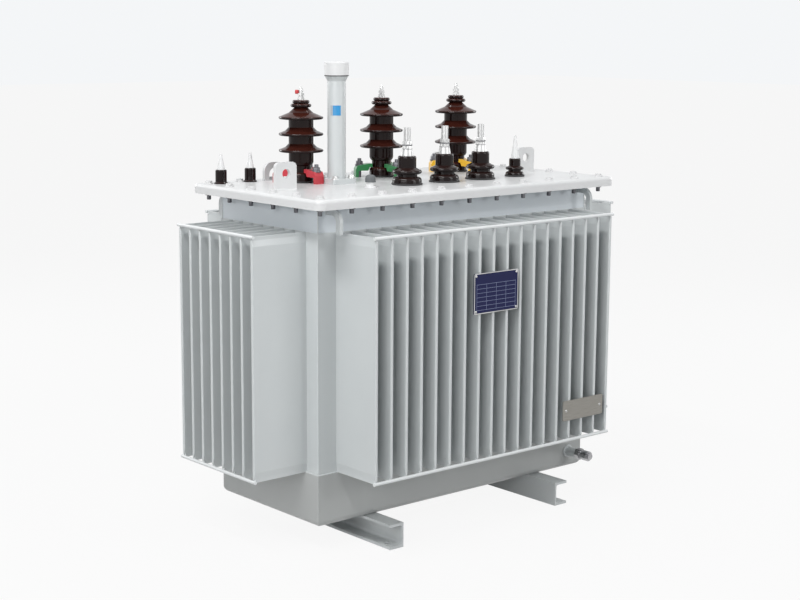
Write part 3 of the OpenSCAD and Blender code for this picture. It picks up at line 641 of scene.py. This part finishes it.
# %% [markdown]
# ## Cover bolts
# The cover is held to the rim by a row of bolts along each side. A head with its washer shows on top,
# painted with the cover, and a plated nut with the bolt's end hangs under the rim. One bolt could be copied
# as linked objects, but a piece is one mesh at the origin, so every drum is made in its place.

# %% Cover bolts
SIDE_STEP = 0.0984
BOLT_ROW_X = 0.506
BOLT_ROW_Y = 0.246
HEAD_R = 0.0098
HEAD_H = 0.0052
NUT_H = 0.0095
STUD_R = 0.0058
STUD_END = 0.0235
WASHER_R = 0.0122
WASHER_T = 0.0024
SINK = 0.0005
HEX_SIDES, STUD_SIDES, WASHER_SIDES = 6, 20, 28
HEX_EDGE, STUD_EDGE, WASHER_EDGE = 0.0011, 0.0010, 0.0005
HEAD_TURN, NUT_TURN = 0.7, 0.4

cover_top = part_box("cover")[1].z
rim_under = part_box("tank_rim")[0].z
columns = [step * BOLT_ROW_X / 5 for step in range(-5, 6)]
side_rows = [(step + 0.5) * SIDE_STEP for step in range(-2, 2)]
bolt_places = [(x, y) for x in columns for y in (-BOLT_ROW_Y, BOLT_ROW_Y)]
bolt_places += [(x, y) for y in side_rows for x in (-BOLT_ROW_X, BOLT_ROW_X)]

heads = bmesh.new()
nuts = bmesh.new()
for count, (x, y) in enumerate(bolt_places):
    turn = HEAD_TURN * count
    on_cover = upright((x, y, cover_top), turn)
    drum(heads, on_cover, -SINK, WASHER_T, WASHER_R, WASHER_SIDES, WASHER_EDGE)
    drum(heads, on_cover, WASHER_T, WASHER_T + HEAD_H, HEAD_R, HEX_SIDES, HEX_EDGE)
    under = upright((x, y, rim_under), turn + NUT_TURN) @ Matrix.Rotation(math.pi, 4, "X")
    drum(nuts, under, -SINK, WASHER_T, WASHER_R, WASHER_SIDES, WASHER_EDGE)
    drum(nuts, under, WASHER_T, WASHER_T + NUT_H, HEAD_R, HEX_SIDES, HEX_EDGE)
    drum(nuts, under, WASHER_T + NUT_H, STUD_END, STUD_R, STUD_SIDES, STUD_EDGE)
finish_piece("cover_bolt_heads", heads, bolt_shaded_white)
finish_piece("cover_bolt_nuts", nuts, zinc_dark)

# %% [markdown]
# ## Clamp bolts
# Each bushing clamp has a stud through it, with a washer and a nut on top. The places could be typed in, but
# they come from the bushings themselves, so the bolts stay with them.

# %% Clamp bolts
CLAMP_RADIUS = 0.064
CLAMP_TURN = math.radians(-87)
CLAMP_SEAT = 0.0338
CLAMP_SINK = 0.002
CLAMP_WASHER_R = 0.0125
CLAMP_WASHER_TOP = CLAMP_SEAT + 0.0025
CLAMP_NUT_R = 0.0104
CLAMP_NUT_TOP = CLAMP_SEAT + 0.0115
CLAMP_STUD_R = 0.0056
CLAMP_STUD_TOP = CLAMP_SEAT + 0.0190

clamp_bolts = bmesh.new()
for side in ("left", "middle", "right"):
    low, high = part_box("hv_bushing_" + side)
    centre = (low + high) / 2
    for third in range(3):
        angle = CLAMP_TURN + third * math.tau / 3
        reach = Vector((math.cos(angle), math.sin(angle), 0)) * CLAMP_RADIUS
        on_claw = upright(Vector((centre.x, centre.y, cover_top)) + reach, angle)
        drum(clamp_bolts, on_claw, CLAMP_SEAT - CLAMP_SINK, CLAMP_WASHER_TOP, CLAMP_WASHER_R, WASHER_SIDES,
             bevel=0.0006)
        drum(clamp_bolts, on_claw, CLAMP_WASHER_TOP, CLAMP_NUT_TOP, CLAMP_NUT_R, HEX_SIDES, bevel=0.0012)
        drum(clamp_bolts, on_claw, CLAMP_NUT_TOP, CLAMP_STUD_TOP, CLAMP_STUD_R, STUD_SIDES, STUD_EDGE)
        drum(clamp_bolts, on_claw, 0.0, CLAMP_SEAT, CLAMP_STUD_R, STUD_SIDES)
finish_piece("clamp_bolts", clamp_bolts, zinc_dark)

# %% [markdown]
# ## Flange bolts
# The filler tube's square flange has a bolt in every corner. The same drums make them, smaller and brighter,
# and each head has stopped at its own turn.

# %% Flange bolts
FLANGE_T = 0.014
FLANGE_BOLT = 0.028
FLANGE_WASHER_R, FLANGE_WASHER_T = 0.0092, 0.0020
FLANGE_HEAD_R, FLANGE_HEAD_TOP = 0.0075, 0.0085

flange_low, flange_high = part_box("filler_tube")
flange_centre = (flange_low + flange_high) / 2
bolts = bmesh.new()
for sx in (-1, 1):
    for sy in (-1, 1):
        place = (flange_centre.x + sx * FLANGE_BOLT, flange_centre.y + sy * FLANGE_BOLT, cover_top + FLANGE_T)
        on_flange = upright(place, turn=0.3 * sx + 0.5 * sy)
        drum(bolts, on_flange, -SINK, FLANGE_WASHER_T, FLANGE_WASHER_R, sides=24, bevel=WASHER_EDGE)
        drum(bolts, on_flange, FLANGE_WASHER_T, FLANGE_HEAD_TOP, FLANGE_HEAD_R, HEX_SIDES, bevel=0.0009)
finish_piece("flange_bolts", bolts, screw_steel)

# %% [markdown]
# ## Terminal nuts
# Each low-voltage stud carries two nuts that grip the cable lug. A washer of dark steel sits between them
# and one under the lower nut, and their dark steel paints the shade in the gaps between the nuts as thin
# dark lines. A dark line could be painted on, but a washer that stands out a little also shows from the side.

# %% Terminal nuts
NUT_R = 0.0136
NUT_LEVELS = ((0.0972, 0.1058), (0.1080, 0.1180))
LUG_WASHER_R = 0.0142
LUG_WASHER_T = 0.0024
LUG_WASHER_LAP = 0.0002

terminal_nuts = bmesh.new()
gap_shade_washers = bmesh.new()
for count, name in enumerate(("lv_terminal_1", "lv_terminal_2", "lv_terminal_3")):
    low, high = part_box(name)
    on_stud = upright(((low.x + high.x) / 2, (low.y + high.y) / 2, cover_top), turn=0.35 + 0.8 * count)
    for bottom, top in NUT_LEVELS:
        drum(terminal_nuts, on_stud, bottom, top, NUT_R, HEX_SIDES, bevel=0.0013)
        # The dark washers are painted shade for the gaps between the nuts.
        drum(gap_shade_washers, on_stud, bottom - LUG_WASHER_T, bottom + LUG_WASHER_LAP, LUG_WASHER_R, sides=32)
finish_piece("terminal_nuts", terminal_nuts, tinned)
finish_piece("terminal_gap_shade_washers", gap_shade_washers, zinc_dark)

# %% [markdown]
# ## Gaskets
# Porcelain never stands on steel. A rubber ring under each bushing keeps the oil in, and its rounded edge
# shows as a dark line round the foot. A thinner ring seals the filler cap. The mesh menu's torus would do,
# but bmesh has no such operator, so a small circle is spun about the axis.

# %% Gaskets
GASKET_T = 0.0026
GASKET_LIFT = 0.8 * GASKET_T
HV_FOOT_R = 0.034
CAP_RING_R, CAP_RING_T, CAP_RING_LIFT = 0.0325, 0.0012, 0.0005


def ring(bm, centre, radius, thick):
    stand = Matrix.Translation(centre + Vector((radius, 0, 0))) @ Matrix.Rotation(math.radians(90), 4, "X")
    verts = bmesh.ops.create_circle(bm, segments=12, radius=thick, matrix=stand)["verts"]
    bmesh.ops.spin(
        bm, geom=verts + edges_of(verts), cent=centre, axis=(0, 0, 1), angle=2 * math.pi, steps=64,
        use_merge=True)


gaskets = bmesh.new()
for name in solids:
    if name.startswith(("hv_bushing", "lv_bushing")):
        low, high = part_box(name)
        foot = HV_FOOT_R if name.startswith("hv") else (high.x - low.x) / 2
        seat = Vector(((low.x + high.x) / 2, (low.y + high.y) / 2, low.z + GASKET_LIFT))
        ring(gaskets, seat, foot, GASKET_T)
cap_seat = Vector((flange_centre.x, flange_centre.y, flange_high.z + CAP_RING_LIFT))
ring(gaskets, cap_seat, CAP_RING_R, CAP_RING_T)
finish_piece("bushing_gaskets", gaskets, black_rubber)

# %% [markdown]
# ## Tank welds
# The tank is one welded shell, with beads round the top of the pan and up the corners of the tank and the
# neck. A curve with a round bevel could draw a bead, but it would be as smooth as a wire. Here a small
# circle is extruded ring by ring along the seam, and each ring is swollen or pulled in, which gives the
# ripples of a hand weld.

# %% Tank welds
BEAD_SIDES = 7
RIPPLE = 0.0045
BEAD_R = 0.0022
SEAM_R = 0.0016
WELD_SEAT = 0.0018
TANK_HALF_WIDTH = 0.213


def bead(bm, start, end, radius):
    start, end = Vector(start), Vector(end)
    run = end - start
    along = run.normalized()
    matrix = Matrix.Translation(start) @ run.to_track_quat("Z", "Y").to_matrix().to_4x4()
    rings = max(2, round(run.length / RIPPLE))
    edges = edges_of(bmesh.ops.create_circle(bm, segments=BEAD_SIDES, radius=radius, matrix=matrix)["verts"])
    bmesh.ops.edgeloop_fill(bm, edges=edges)
    for step in range(1, rings + 1):
        grown = bmesh.ops.extrude_edge_only(bm, edges=edges)["geom"]
        verts = only(grown, bmesh.types.BMVert)
        edges = [edge for edge in only(grown, bmesh.types.BMEdge)
                 if all(vert in verts for vert in edge.verts)]
        before = start + run * (step - 1) / rings
        centre = start + run * step / rings
        # A quick wave makes the ripples and a slow one the unsteady hand.
        swell = 1.0 + 0.22 * math.sin(2.4 * step) + 0.10 * math.sin(0.37 * step)
        for vert in verts:
            across = vert.co - before
            across -= along * across.dot(along)
            vert.co = centre + across.normalized() * radius * swell
    bmesh.ops.edgeloop_fill(bm, edges=edges)


def rising_bead(bm, foot, height, radius):
    bead(bm, foot, Vector(foot) + Vector((0, 0, height)), radius)


pan_low, pan_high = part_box("tank_base")
neck_low, neck_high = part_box("tank_neck")
wall_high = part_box("corrugated_wall_front")[1]
left, right = WELD_SEAT - pan_high.x, pan_high.x - WELD_SEAT
near, far = pan_low.y + WELD_SEAT, pan_high.y - WELD_SEAT

welds = bmesh.new()
corners = [(x, y, pan_high.z) for x, y in ((left, near), (right, near), (right, far), (left, far))]
for here, there in zip(corners, corners[1:] + corners[:1]):
    bead(welds, here, there, BEAD_R)
for sx in (-1, 1):
    for sy in (-1, 1):
        tank_corner = (sx * wall_high.x, sy * TANK_HALF_WIDTH, pan_high.z)
        rising_bead(welds, tank_corner, wall_high.z - pan_high.z, SEAM_R)
        neck_corner = (sx * neck_high.x, sy * neck_high.y, neck_low.z)
        rising_bead(welds, neck_corner, neck_high.z - neck_low.z, SEAM_R)
finish_piece("tank_welds", welds, tank_grey)

# %% [markdown]
# ## Welds at hooks and skids
# The lifting hooks are welded to the neck along both of their sides, and the skids to the pan along theirs.
# These are the same beads, a little thicker, because they carry the weight.

# %% Welds at hooks and skids
HOOK_T = 0.010
HOOK_ARM = 0.016
HOOK_BEAD_R = 0.0026
SKID_BEAD_R = 0.0030
SKID_BEAD_IN = 0.001
SKID_BEAD_SHORT = 0.030

foot_welds = bmesh.new()
hook_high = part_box("tank_hooks_front")[1]
for sx in (-1, 1):
    for sy in (-1, 1):
        for side in (-1, 1):
            x = sx * (hook_high.x - HOOK_T / 2) + side * HOOK_T / 2
            rising_bead(foot_welds, (x, sy * neck_high.y, hook_high.z - HOOK_ARM), HOOK_ARM, HOOK_BEAD_R)
for side in ("left", "right"):
    low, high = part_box("base_channel_" + side)
    for x in (low.x + SKID_BEAD_IN, high.x - SKID_BEAD_IN):
        front_end = (x, pan_low.y + SKID_BEAD_SHORT, high.z)
        bead(foot_welds, front_end, (x, pan_high.y - SKID_BEAD_SHORT, high.z), SKID_BEAD_R)
finish_piece("foot_welds", foot_welds, tank_grey)

# %% [markdown]
# ## Welds on the cover
# A lug stands on the cover on a bead along each face. An arched lug has two short ones to a face, one at
# each leg. They are the same beads again, so that all the welding looks like one hand's work.

# %% Welds on the cover
LUG_W = 0.068
LUG_BEAD_R = 0.0030
ARCH_W = 0.066
ARCH_BAR = 0.016
ARCH_BEAD_R = 0.0026


def cover_bead(bm, x, y, width, radius):
    bead(bm, (x - width / 2, y, cover_top), (x + width / 2, y, cover_top), radius)


cover_welds = bmesh.new()
lug_low, lug_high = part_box("cover_lugs")
arch_low, arch_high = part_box("arch_lugs")
for sx in (-1, 1):
    for y in (lug_low.y, lug_high.y):
        cover_bead(cover_welds, sx * (lug_high.x - LUG_W / 2), y, LUG_W, LUG_BEAD_R)
    for y in (arch_low.y, arch_high.y):
        for leg in (-1, 1):
            x = sx * (arch_high.x - ARCH_W / 2) + leg * (ARCH_W - ARCH_BAR) / 2
            cover_bead(cover_welds, x, y, ARCH_BAR, ARCH_BEAD_R)
finish_piece("cover_welds", cover_welds, cover_lit_white)

# %% [markdown]
# ## Tack welds on the tie rods
# The rods that tie the fins are tacked to every fin by a small blob of weld. There are many, so each is a
# low icosphere, drawn out along the rod.

# %% Tack welds on the tie rods
LONG_PITCH = 0.050
END_PITCH = 0.046
ROD_OVERHANG = 0.017
ROD_MIDDLE = 0.0088
TACK_LONG, TACK_WIDE = 0.0050, 0.0038


def tacks(bm, node, pitch, along_x):
    low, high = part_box(node)
    reach = (high.x - low.x) if along_x else (high.y - low.y)
    count = round((reach - ROD_OVERHANG) / pitch) + 1
    inner = {"front": high.y, "back": low.y, "left": high.x, "right": low.x}[node.split("_")[-1]]
    size = (TACK_LONG, TACK_WIDE, TACK_WIDE) if along_x else (TACK_WIDE, TACK_LONG, TACK_WIDE)
    for index in range(count):
        step = (index - (count - 1) / 2) * pitch
        for z in (low.z + ROD_MIDDLE, high.z - ROD_MIDDLE):
            place = (step, inner, z) if along_x else (inner, step, z)
            bmesh.ops.create_icosphere(bm, subdivisions=2, radius=1.0, matrix=sized(place, size))


rod_tacks = bmesh.new()
for wall in ("front", "back"):
    tacks(rod_tacks, "fin_tie_bars_" + wall, LONG_PITCH, True)
for wall in ("left", "right"):
    tacks(rod_tacks, "fin_tie_bars_" + wall, END_PITCH, False)
finish_piece("rod_tack_welds", rod_tacks, tank_grey)

# %% [markdown]
# ## Nameplate edge
# The nameplate has a narrow bright edge. Four bars could frame it, but their corners would have to be
# mitred. A cube of the plate's size with rounded corners is inset instead, all but the border is deleted,
# and the border is extruded to stand a little proud.

# %% Nameplate edge
EDGE_WIDTH = 0.0022
EDGE_PROUD = 0.0006
PLATE_CORNER_R = 0.004


def plate_frame(bm, low, high):
    size = high - low
    bmesh.ops.create_cube(bm, size=1.0, matrix=sized((low + high) / 2, size))
    corner_edges = [edge for edge in bm.edges if abs((edge.verts[0].co - edge.verts[1].co).y) > size.y / 2]
    bmesh.ops.bevel(
        bm, geom=corner_edges, offset=PLATE_CORNER_R, affect="EDGES", segments=4, profile=0.5, material=-1)
    bm.normal_update()
    front = [face for face in bm.faces if face.normal.y < -0.9]
    border = bmesh.ops.inset_region(bm, faces=front, thickness=EDGE_WIDTH, use_even_offset=True)["faces"]
    bmesh.ops.delete(bm, geom=[face for face in bm.faces if face not in border], context="FACES")
    raised = bmesh.ops.extrude_face_region(bm, geom=bm.faces[:], use_keep_orig=True)["geom"]
    bmesh.ops.translate(bm, vec=(0, -EDGE_PROUD, 0), verts=only(raised, bmesh.types.BMVert))


name_low, name_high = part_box("nameplate")
bright_edge = bmesh.new()
plate_frame(bright_edge, name_low, name_high)
finish_piece("nameplate_edge", bright_edge, screw_steel)

# %% [markdown]
# ## Plate screws
# The nameplate has a screw in each corner, and the lower plate one at each end. A screw is a low drum that
# narrows to the top. Its slot could be cut with a boolean, but at under a millimetre wide a thin dark bar
# laid on the head stands in for it, a painted shade for the inside of the slot.

# %% Plate screws
SCREW_R = 0.0036
SCREW_H = 0.0016
SCREW_SINK = 0.0003
SCREW_TAPER = 0.86
SCREW_IN = 0.0065
LOWER_SCREW_IN = 0.012
SCREW_TURN = 0.9
SLOT_LEVEL = 0.00155
SLOT_SIZE = (2 * SCREW_R * 0.8, 0.0009, 0.0004)


def facing_front(place):
    return Matrix.Translation(place) @ Matrix.Rotation(math.radians(90), 4, "X")


lower_low, lower_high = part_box("lower_plate")
lower_mid = (lower_low.z + lower_high.z) / 2
screw_places = [(x, name_low.y, z) for x in (name_low.x + SCREW_IN, name_high.x - SCREW_IN)
                for z in (name_low.z + SCREW_IN, name_high.z - SCREW_IN)]
screw_places += [(x, lower_low.y, lower_mid)
                 for x in (lower_low.x + LOWER_SCREW_IN, lower_high.x - LOWER_SCREW_IN)]

screws = bmesh.new()
slot_shades = bmesh.new()
for count, place in enumerate(screw_places):
    on_plate = facing_front(place) @ Matrix.Rotation(SCREW_TURN * count, 4, "Z")
    drum(screws, on_plate, -SCREW_SINK, SCREW_H, SCREW_R, sides=24, bevel=0.0004, taper=SCREW_TAPER)
    # The dark bar is painted shade for the inside of the slot.
    bmesh.ops.create_cube(slot_shades, size=1.0, matrix=on_plate @ sized((0, 0, SLOT_LEVEL), SLOT_SIZE))
finish_piece("plate_screws", screws, screw_steel)
finish_piece("plate_screw_slot_shades", slot_shades, zinc_dark)

# %% [markdown]
# ## Labels
# The filler tube carries a bare blue label with a grey strip beside it, wrapped on its front. They could be
# painted on the tube, but a label is a film with an edge of its own. It is an upright line spun part of the
# way round the tube, then thickened.

# %% Labels
TUBE_R = 0.025
LABEL_T = 0.0005
LABEL_LOW = 1.1115
LABEL_HIGH = 1.1385


def wrapped_label(name, from_angle, to_angle, material):
    bm = bmesh.new()
    at = Vector((flange_centre.x, flange_centre.y, 0))
    first = math.radians(from_angle)
    out = Vector((math.cos(first), math.sin(first), 0)) * (TUBE_R + LABEL_T)
    ends = [bm.verts.new(at + out + Vector((0, 0, z))) for z in (LABEL_LOW, LABEL_HIGH)]
    line = bm.edges.new(ends)
    turn = math.radians(to_angle - from_angle)
    bmesh.ops.spin(bm, geom=ends + [line], cent=at, axis=(0, 0, 1), angle=turn, steps=18)
    bmesh.ops.recalc_face_normals(bm, faces=bm.faces)
    bmesh.ops.solidify(bm, geom=bm.faces[:], thickness=LABEL_T)
    finish_piece(name, bm, material)


wrapped_label("tube_label", -151.5, -102, label_blue)
wrapped_label("tube_label_strip", -168, -152, label_grey)

# %% [markdown]
# ## Terminal tag
# The left terminal has a small red tag on one side of its stud. A cube with rounded edges is enough for it,
# turned to face straight out from the stud.

# %% Terminal tag
TAG_SIDE = Vector((-0.761, 0.648, 0))
TAG_OUT = 0.011
TAG_RISE = 0.0215
TAG_SIZE = (0.010, 0.0075, 0.011)
TAG_EDGE = 0.0018

stud_low, stud_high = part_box("hv_terminal_left")
stud = (stud_low + stud_high) / 2
tag_place = Vector((stud.x, stud.y, stud_low.z + TAG_RISE)) + TAG_SIDE * TAG_OUT
tag_turn = math.atan2(TAG_SIDE.y, TAG_SIDE.x)
tag = bmesh.new()
bmesh.ops.create_cube(tag, size=1.0, matrix=upright(tag_place, tag_turn) @ sized((0, 0, 0), TAG_SIZE))
bmesh.ops.bevel(tag, geom=tag.edges[:], offset=TAG_EDGE, affect="EDGES", segments=3, profile=0.5, material=-1)
finish_piece("terminal_tag", tag, tag_red)

# %% [markdown]
# ## Studio floor and world
# A pale floor and an even surround keep all eyes on the object. Stronger lamps would whiten them, and bleach
# the object too. So a Light Path node tells what is seen directly from what gives light: the camera sees
# nearly white, and the light on the object stays at a plain level. A little of the floor's own shading is
# left in, which keeps the object's shadow.

# %% Studio floor and world
FLOOR_SIZE = 30.0
FLOOR_COLOUR = (0.50, 0.50, 0.50, 1)
FLOOR_GLOW = 0.91
WORLD_COLOUR = (0.97, 0.985, 1.0, 1)
WORLD_LIGHT = 0.22
WORLD_SEEN = 0.935

floor_bm = bmesh.new()
bmesh.ops.create_grid(floor_bm, x_segments=1, y_segments=1, size=FLOOR_SIZE)
floor_mesh = bpy.data.meshes.new("studio_floor")
floor_bm.to_mesh(floor_mesh)
floor_bm.free()
studio_floor = bpy.data.objects.new("studio_floor", floor_mesh)
scene.collection.objects.link(studio_floor)


def seen_directly(tree):
    path = add_node(tree, "ShaderNodeLightPath")
    either = calculate(tree, "MAXIMUM", path.outputs["Is Camera Ray"], path.outputs["Is Glossy Ray"])
    return calculate(tree, "MAXIMUM", either, path.outputs["Is Transmission Ray"])


floor_paint, tree, shader = new_material("floor_paint")
shader.inputs["Base Color"].default_value = FLOOR_COLOUR
shader.inputs["Roughness"].default_value = 0.9
shader.inputs["Specular IOR Level"].default_value = 0.1
glow = add_node(tree, "ShaderNodeEmission", {"Color": (1, 1, 1, 1), "Strength": 1.0})
blend = add_node(tree, "ShaderNodeMixShader")
join(tree, product(tree, seen_directly(tree), FLOOR_GLOW), blend.inputs[0])
join(tree, shader.outputs[0], blend.inputs[1])
join(tree, glow.outputs[0], blend.inputs[2])
join(tree, blend.outputs[0], tree.nodes["Material Output"].inputs["Surface"])
floor_mesh.materials.append(floor_paint)

world = bpy.data.worlds.new("studio")
scene.world = world
world.use_nodes = True
tree = world.node_tree
backdrop = tree.nodes["Background"]
level = spread(tree, seen_directly(tree), (0.0, 1.0), (WORLD_LIGHT, WORLD_SEEN))
join(tree, level, backdrop.inputs["Strength"])
backdrop.inputs["Color"].default_value = WORLD_COLOUR
print("floor and world ready")

# %% [markdown]
# ## Studio lights
# The key is a long strip high on the left, which lays a band of light under the tops of the fins and fades
# into the gaps. A broad soft panel stands lower on the left, two weaker ones in front, and one each on the
# right and behind, and a narrow strip above draws the highlights on the porcelain. Point lamps would throw
# hard shadows, so all of them are area lights.

# %% Studio lights
def panel_light(name, place, aim, size, power):
    data = bpy.data.lights.new(name, "AREA")
    data.shape = "RECTANGLE"
    data.size, data.size_y = size
    data.energy = power
    lamp = bpy.data.objects.new(name, data)
    lamp.location = place
    lamp.rotation_euler = (Vector(aim) - Vector(place)).to_track_quat("-Z", "Y").to_euler()
    scene.collection.objects.link(lamp)


# Each line gives a place, what the panel aims at, its two sizes in metres and its power in watts.
panel_light("top_strip", (0.75, 0.95, 3.9), (0.0, 0.1, 1.0), (2.6, 0.25), 26)
panel_light("left_key", (-2.4, -0.9, 4.2), (0.0, -0.9, 0.7), (3.0, 0.4), 122)
panel_light("left_soft", (-3.8, -1.7, 1.7), (0.0, 0.0, 0.7), (3.0, 1.4), 58)
panel_light("front_panel", (1.4, -3.9, 1.5), (0.0, 0.0, 0.7), (1.6, 0.8), 34)
panel_light("front_high", (0.8, -3.3, 3.0), (0.0, 0.0, 0.6), (1.4, 0.5), 28)
panel_light("right_panel", (4.2, -0.3, 1.7), (0.0, 0.0, 0.6), (1.4, 1.2), 42)
panel_light("back_panel", (-1.0, 4.1, 1.9), (0.0, 0.0, 0.6), (1.8, 1.2), 52)
print("lights ready")

# %% [markdown]
# ## Finish
# The pieces that were added are counted.

# %% Count the pieces
print(len(made), "pieces added")
